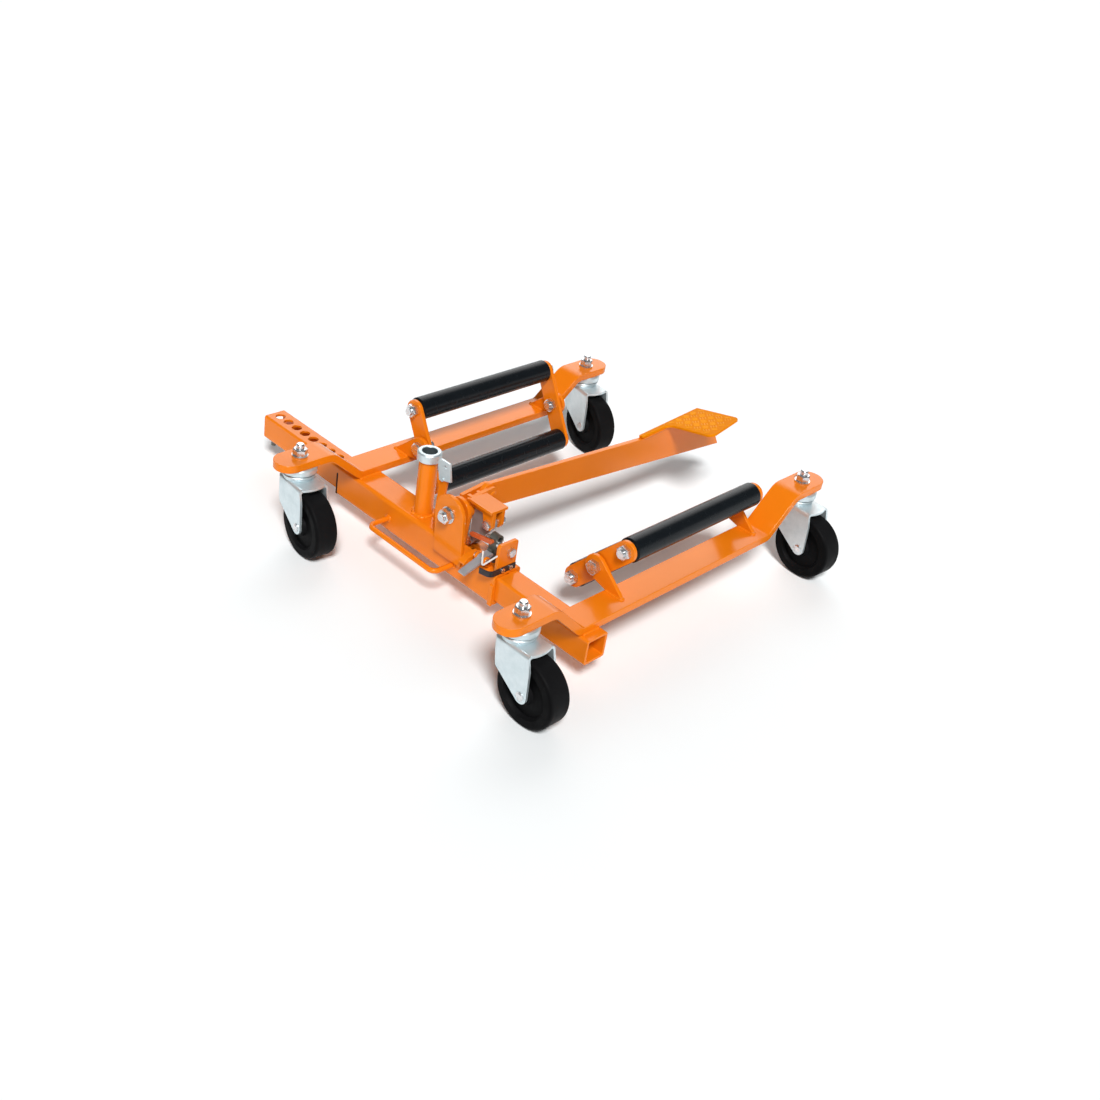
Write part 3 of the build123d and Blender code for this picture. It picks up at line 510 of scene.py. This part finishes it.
# Front cheek on the sleeve front, inner cheek on the roof
CHEEK_LEFT = -25.0
CHEEK_SHORT = 1.0
INNER_CHEEK_LEFT = -21.0
INNER_CHEEK_RIGHT = -13.5
cheek_low, cheek_high = drawn_box("front_cheek")
cheek_top = roof - CHEEK_SHORT
cheek_outline = [
    (CHEEK_LEFT, cheek_high.y, cheek_top),
    (CHEEK_LEFT, cheek_high.y, cheek_low.z),
    (cheek_high.x, cheek_high.y, cheek_low.z),
    (cheek_high.x, cheek_high.y, cheek_top),
]
bead(welds["frame"], cheek_outline, radius=2.0, up=Y)
for corner in drawn_box("inner_cheek"):
    roof_bead((INNER_CHEEK_LEFT, corner.y), (INNER_CHEEK_RIGHT, corner.y), radius=1.8)

# Latch strip and end plate on the roof
SEAM_INSET = 1.0
STRIP_BARE = 5.0
strip_low, strip_high = drawn_box("latch_strip")
for y in (strip_low.y, strip_high.y):
    roof_bead((strip_low.x + SEAM_INSET, y), (strip_high.x - STRIP_BARE, y), radius=1.7)
plate_low, plate_high = drawn_box("end_plate")
roof_bead((plate_low.x, plate_low.y + SEAM_INSET), (plate_low.x, plate_high.y - SEAM_INSET), radius=2.0)

# Release lugs and the guard beside them on the roof
LUG_FRONT = -19.0
GUARD_FRONT = -23.0
GUARD_WIDTH = 11.0
PIN_END = 2.0
LUG_SHORT = 0.5
lugs_low, lugs_high = drawn_box("release_lugs")
lugs_rear = lugs_high.y - LUG_SHORT
first_lug = drawn_box("release_pin")[0].x + PIN_END
for x in (first_lug, lugs_high.x):
    roof_bead((x, LUG_FRONT), (x, lugs_rear), radius=1.4)
for x in (lugs_low.x, lugs_low.x + GUARD_WIDTH):
    roof_bead((x, GUARD_FRONT), (x, lugs_rear), radius=1.4)

# Spring bracket on the clevis
BRACKET_SEAM = ((8.3, -3.5, 158.0), (8.3, 19.5, 158.0))
bead(welds["rocker"], BRACKET_SEAM, radius=1.5, up=Z)

# Tongue of the tread plate on both sides of the lever
TONGUE_FRONT = (384.0, 142.4)
TONGUE_REAR = (440.0, 146.6)
for corner in drawn_box("lever"):
    bead(welds["lever"], [(corner.x, *TONGUE_FRONT), (corner.x, *TONGUE_REAR)], radius=1.7, up=Z)

for body, shape in welds.items():
    piece("welds_" + body, body, orange, shape)

# Threads on bolt ends, one piece for each body
THREAD_STEPS = 24
THREAD_SUNK = 0.4
THREAD_PROUD = 0.3
LARGE_BOLT = {"radius": 6.0, "rise": 1.75}
SMALL_BOLT = {"radius": 4.0, "rise": 1.25}
WASHER_RADIUS = 12.0


def thread(shape, base, axis, length, radius, rise):
    """A helical ridge standing on a plain bolt end, closed underneath; rise is the height of one turn."""
    first = axis.orthogonal().normalized()
    second = axis.cross(first)
    height = length - rise
    steps = int(THREAD_STEPS * height / rise)
    root = radius - THREAD_SUNK
    crown = radius + THREAD_PROUD
    rings = []
    for i in range(steps + 1):
        out = around(2 * math.pi * i / THREAD_STEPS, first, second)
        place = Vector(base) + height * i / steps * axis
        rings.append([
            place + root * out,
            place + crown * out + 0.5 * rise * axis,
            place + root * out + 0.9 * rise * axis,
        ])
    skin(shape, rings)


threads = {body: ([], []) for body in ("frame", "carriage", "rocker", "cradle_left", "cradle_right")}

# Caster studs above their nuts, cradle pivots on the inner side of theirs
STUD_SUNK = 0.3
PIVOT_NUT_DEPTH = 14.4
for body, side in (("frame", "left"), ("carriage", "right")):
    nuts_low, nuts_high = drawn_box("stud_nuts_" + side)
    stud_x = drawn_middle("stud_nuts_" + side).x
    for y in (nuts_low.y + WASHER_RADIUS, nuts_high.y - WASHER_RADIUS):
        thread(threads[body], (stud_x, y, nuts_high.z - STUD_SUNK), Z, length=6.6, **LARGE_BOLT)
    pivot_x = drawn_box("pivot_bolts_" + side)[1].x - WASHER_RADIUS
    pivot_z = drawn_middle("pivot_bolts_" + side).z
    links_low, links_high = drawn_box("links_" + side)
    front_end = (pivot_x, links_low.y + PIVOT_NUT_DEPTH, pivot_z)
    rear_end = (pivot_x, links_high.y - PIVOT_NUT_DEPTH, pivot_z)
    thread(threads[body], front_end, Y, length=3.5, **LARGE_BOLT)
    thread(threads[body], rear_end, -Y, length=3.5, **LARGE_BOLT)

# Main bolt and guide bolt on the frame
MAIN_BOLT_END = 3.8
GUIDE_BOLT_END = 3.5
main_axis = drawn_middle("main_bolt")
main_end = (main_axis.x, drawn_box("main_bolt")[0].y + MAIN_BOLT_END, main_axis.z)
thread(threads["frame"], main_end, -Y, length=3.7, **LARGE_BOLT)
guide_axis = drawn_middle("guide_bolt")
guide_end = (drawn_box("guide_bolt")[0].x + GUIDE_BOLT_END, guide_axis.y, guide_axis.z)
thread(threads["frame"], guide_end, -X, length=3.4, **SMALL_BOLT)

# Spring bolt of the rocker, placed from a corner and a flat of its nut
NUT_CORNER = 7.4
NUT_FLAT = 6.4
SPRING_BOLT_END = 2.8
bolts_high = drawn_box("rocker_bolts")[1]
spring_end = (bolts_high.x - NUT_CORNER, bolts_high.y - SPRING_BOLT_END, bolts_high.z - NUT_FLAT)
thread(threads["rocker"], spring_end, Y, length=2.7, **SMALL_BOLT)

# Roller bolts of the cradles
ROLLER_BOLT_END = 4.3
for side in ("left", "right"):
    bolts_front = drawn_box("roller_bolts_" + side)[0].y
    for roller in ("upper", "lower"):
        roller_axis = drawn_middle("roller_" + side + "_" + roller)
        roller_end = (roller_axis.x, bolts_front + ROLLER_BOLT_END, roller_axis.z)
        thread(threads["cradle_" + side], roller_end, -Y, length=4.1, **LARGE_BOLT)

for body, shape in threads.items():
    piece("threads_" + body, body, bright, shape)

# Plane of the tread plate, which leans to one side and climbs along the lever
TREAD_LEAN = math.radians(13.0)
TREAD_CLIMB = math.radians(4.3)
TREAD_THICKNESS = 4.0
TREAD_START = 380.0
LEVER_TOP = 142.0
TREAD_LIFT = 4.2
tread_along = Vector((0, math.cos(TREAD_CLIMB), math.sin(TREAD_CLIMB)))
tread_normal = Vector((
    -math.sin(TREAD_LEAN) * math.cos(TREAD_CLIMB),
    -math.cos(TREAD_LEAN) * math.sin(TREAD_CLIMB),
    math.cos(TREAD_LEAN) * math.cos(TREAD_CLIMB),
))
tread_across = tread_normal.cross(tread_along)
lever_x = drawn_middle("lever").x
tread_underside = Vector((lever_x, TREAD_START, LEVER_TOP + TREAD_LIFT * math.sin(TREAD_LEAN)))
tread_origin = tread_underside + TREAD_THICKNESS * tread_normal

# Raised bars on the tread plate, in groups of three that cross
BAR_LAYERS = ((5.0, 1.1, -0.4), (4.8, 1.0, 0.2), (4.2, 0.65, 0.6), (3.5, 0.25, 0.75))
BAR_CORNERS = ((1, 0), (0.72, 1), (-0.72, 1), (-1, 0), (-0.72, -1), (0.72, -1))
PATTERN_ALONG = 104.0
PATTERN_ACROSS = -44.0
PATTERN_GROUPS = 7
GROUP_STEP = 9.2
BAR_STEP = 4.2
FIELD_FRONT = 69.0
FIELD_REAR = 140.0
FIELD_INNER = -3.0
FIELD_OUTER = -86.0
OUTER_START = 62.0
OUTER_SLOPE = 0.14


def in_field(along, across):
    """Whether a bar is on the plate's field, whose outer side runs at a slant."""
    outer_side = FIELD_OUTER + OUTER_SLOPE * (along - OUTER_START)
    return FIELD_FRONT < along < FIELD_REAR and outer_side < across < FIELD_INNER


def raised_bar(shape, along, across, angle):
    """A bar with pointed ends: layers of half length, half width and height, corners as shares of these."""
    lengthwise = around(angle, tread_along, tread_across)
    sidewise = around(angle, tread_across, -tread_along)
    middle = tread_origin + along * tread_along + across * tread_across
    rings = []
    for half_length, half_width, height in BAR_LAYERS:
        rings.append([
            middle + height * tread_normal + half_length * a * lengthwise + half_width * b * sidewise
            for a, b in BAR_CORNERS
        ])
    skin(shape, rings)


tread_bars = ([], [])
for i in range(-PATTERN_GROUPS, PATTERN_GROUPS + 1):
    for j in range(-PATTERN_GROUPS, PATTERN_GROUPS + 1):
        lean = math.pi / 4 if (i + j) % 2 else -math.pi / 4
        for k in (-1, 0, 1):
            along = PATTERN_ALONG + GROUP_STEP * (i - j) - BAR_STEP * k * math.sin(lean)
            across = PATTERN_ACROSS + GROUP_STEP * (i + j) + BAR_STEP * k * math.cos(lean)
            if in_field(along, across):
                raised_bar(tread_bars, along, across, lean)
piece("tread_bars", "lever", crest_highlight, tread_bars, smooth=False)

# Dark strip on the drilled end of the sleeve: a painted shadow line, in the black rubber finish
SHADE_STRIP_GAP = 0.2
SHADE_STRIP_DEPTH = 3.0
SHADE_STRIP_THICKNESS = 4.2
SHADE_STRIP_HEIGHT = 35.0
SHADE_STRIP_RISE = 2.0
shade_strip_front = SHADE_STRIP_GAP - sleeve_high.y
shade_strip_rear = shade_strip_front + SHADE_STRIP_THICKNESS
shade_strip_low = sleeve_low.z + SHADE_STRIP_RISE
shade_strip_high = shade_strip_low + SHADE_STRIP_HEIGHT
shade_strip_section = (
    (shade_strip_front, shade_strip_low), (shade_strip_rear, shade_strip_low), (shade_strip_rear, shade_strip_high), (shade_strip_front, shade_strip_high),
)
shade_strip_near = sleeve_low.x - SHADE_STRIP_GAP
shade_strip = ([], [])
shade_strip_ends = (shade_strip_near, shade_strip_near - SHADE_STRIP_DEPTH)
skin(shade_strip, [[Vector((x, y, z)) for y, z in shade_strip_section] for x in shade_strip_ends])
piece("sleeve_shade_strip", "frame", wheel_rubber, shade_strip, smooth=False)

# Bent wire in front of the release, in place of the plainer one of the CAD
WIRE_RADIUS = 1.35
WIRE_BEND = 5.0
BEND_STEPS = 10
wire_start = Vector((91.0, -21.5, 116.5))
wire_corner = Vector((76.8, -35.0, 97.0))
wire_tip = Vector((75.6, -35.0, 121.0))
bend_in = wire_corner + WIRE_BEND * (wire_start - wire_corner).normalized()
bend_out = wire_corner + WIRE_BEND * (wire_tip - wire_corner).normalized()
wire_path = [wire_start]
for i in range(BEND_STEPS + 1):
    after = i / BEND_STEPS
    before = 1 - after
    wire_path.append(before ** 2 * bend_in + 2 * after * before * wire_corner + after ** 2 * bend_out)
wire_path.append(wire_tip)
wire_shape = ([], [])
rod(wire_shape, wire_path, WIRE_RADIUS, up=X)
wire_piece = piece("release_wire", "frame", wire_steel, wire_shape)
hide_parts("wire_hook")

# Dark discs on the ends of the two rivets in the leaf strip: painted shade standing in for their hollows
RIVET_RADIUS = 3.5
HOLLOW_RADIUS = 1.3
HOLLOW_SUNK = 0.4
HOLLOW_PROUD = 0.15
rivets_low, rivets_high = drawn_box("leaf_rivets")
rivet_z = rivets_low.z + RIVET_RADIUS
hollow_shades = ([], [])
for y in (rivets_low.y + RIVET_RADIUS, rivets_high.y - RIVET_RADIUS):
    hollow_ends = [(rivets_high.x - HOLLOW_SUNK, y, rivet_z), (rivets_high.x + HOLLOW_PROUD, y, rivet_z)]
    rod(hollow_shades, hollow_ends, HOLLOW_RADIUS, up=Z)
piece("rivet_hollow_shades", "frame", leaf_steel, hollow_shades, smooth=False)


def seen_from(azimuth, elevation):
    """Unit direction from the object to a place at an azimuth and elevation."""
    return Vector((
        math.sin(azimuth) * math.cos(elevation),
        -math.cos(azimuth) * math.cos(elevation),
        math.sin(elevation),
    ))


# Camera fitted to the photograph
CAMERA_AZIMUTH = math.radians(41.587)
CAMERA_ELEVATION = math.radians(29.322)
CAMERA_ROLL = math.radians(-8.481)
CAMERA_PLACE = Vector((1.16846, -1.36383, 1.10070))
SENSOR_WIDTH = 36.0
FOCAL_LENGTH = 43.07
SHIFT_RIGHT = 0.02988
SHIFT_UP = -0.07164
forward = -seen_from(CAMERA_AZIMUTH, CAMERA_ELEVATION)
right = Vector((math.cos(CAMERA_AZIMUTH), math.sin(CAMERA_AZIMUTH), 0))
down = forward.cross(right)
image_right = math.cos(CAMERA_ROLL) * right + math.sin(CAMERA_ROLL) * down
image_down = math.cos(CAMERA_ROLL) * down - math.sin(CAMERA_ROLL) * right
lens = bpy.data.cameras.new("photo_camera")
lens.sensor_width = SENSOR_WIDTH
lens.lens = FOCAL_LENGTH
lens.shift_x = SHIFT_RIGHT
lens.shift_y = SHIFT_UP
camera = bpy.data.objects.new("photo_camera", lens)
axes = Matrix((image_right, -image_down, -forward)).transposed()
camera.matrix_world = Matrix.Translation(CAMERA_PLACE) @ axes.to_4x4()
bpy.context.collection.objects.link(camera)
bpy.context.scene.camera = camera

# White floor, a little below the wheels
FLOOR_REACH = 90.0
FLOOR_DROP = 0.2 * MM
floor_corners = [(x * FLOOR_REACH, y * FLOOR_REACH, 0) for x, y in ((-1, -1), (1, -1), (1, 1), (-1, 1))]
floor_mesh = bpy.data.meshes.new("floor")
floor_mesh.from_pydata(floor_corners, [], [(0, 1, 2, 3)])
floor = bpy.data.objects.new("floor", floor_mesh)
floor.location = (0, 0, -FLOOR_DROP)
bpy.context.collection.objects.link(floor)
floor_material = bpy.data.materials.new("floor")
floor_material.use_nodes = True
floor_shader = floor_material.node_tree.nodes["Principled BSDF"]
floor_shader.inputs["Base Color"].default_value = (0.94, 0.965, 0.97, 1)
floor_shader.inputs["Roughness"].default_value = 0.9
floor_shader.inputs["Specular IOR Level"].default_value = 0.0
floor_mesh.materials.append(floor_material)

# Studio: dim room with a bright wall behind the object and a white horizon
WALL_TOWARD = Vector((-0.58, 0.65, 0.49)).normalized()
WALL_LEVEL = 2.3
HORIZON_LEVEL = 1.0
ROOM_LEVEL = 0.1
world = bpy.data.worlds.new("studio")
bpy.context.scene.world = world
world.use_nodes = True
sky = world.node_tree
direction = sky.nodes.new("ShaderNodeTexCoord").outputs["Generated"]
toward_wall = sky.nodes.new("ShaderNodeVectorMath")
toward_wall.operation = "DOT_PRODUCT"
toward_wall.inputs[1].default_value = WALL_TOWARD
sky.links.new(direction, toward_wall.inputs[0])
wall = spread(sky, toward_wall.outputs["Value"], low=ROOM_LEVEL, high=WALL_LEVEL, start=0.84, stop=0.97)
height = sky.nodes.new("ShaderNodeSeparateXYZ")
sky.links.new(direction, height.inputs["Vector"])
horizon = spread(sky, height.outputs["Z"], low=HORIZON_LEVEL, high=ROOM_LEVEL, start=0.10, stop=0.27)
brightest = sky.nodes.new("ShaderNodeMath")
brightest.operation = "MAXIMUM"
sky.links.new(wall, brightest.inputs[0])
sky.links.new(horizon, brightest.inputs[1])
background = sky.nodes["Background"]
background.inputs["Color"].default_value = (1, 1, 1, 1)
sky.links.new(brightest.outputs["Value"], background.inputs["Strength"])

# One soft key lamp from the camera's side
KEY_AZIMUTH = math.radians(47)
KEY_ELEVATION = math.radians(50)
KEY_STRENGTH = 3.15
KEY_WIDTH = math.radians(14)
key = bpy.data.lights.new("key", "SUN")
key.energy = KEY_STRENGTH
key.angle = KEY_WIDTH
key_holder = bpy.data.objects.new("key", key)
key_holder.rotation_mode = "QUATERNION"
key_holder.rotation_quaternion = seen_from(KEY_AZIMUTH, KEY_ELEVATION).to_track_quat("Z", "Y")
bpy.context.collection.objects.link(key_holder)

bpy.context.scene.view_settings.view_transform = "Standard"
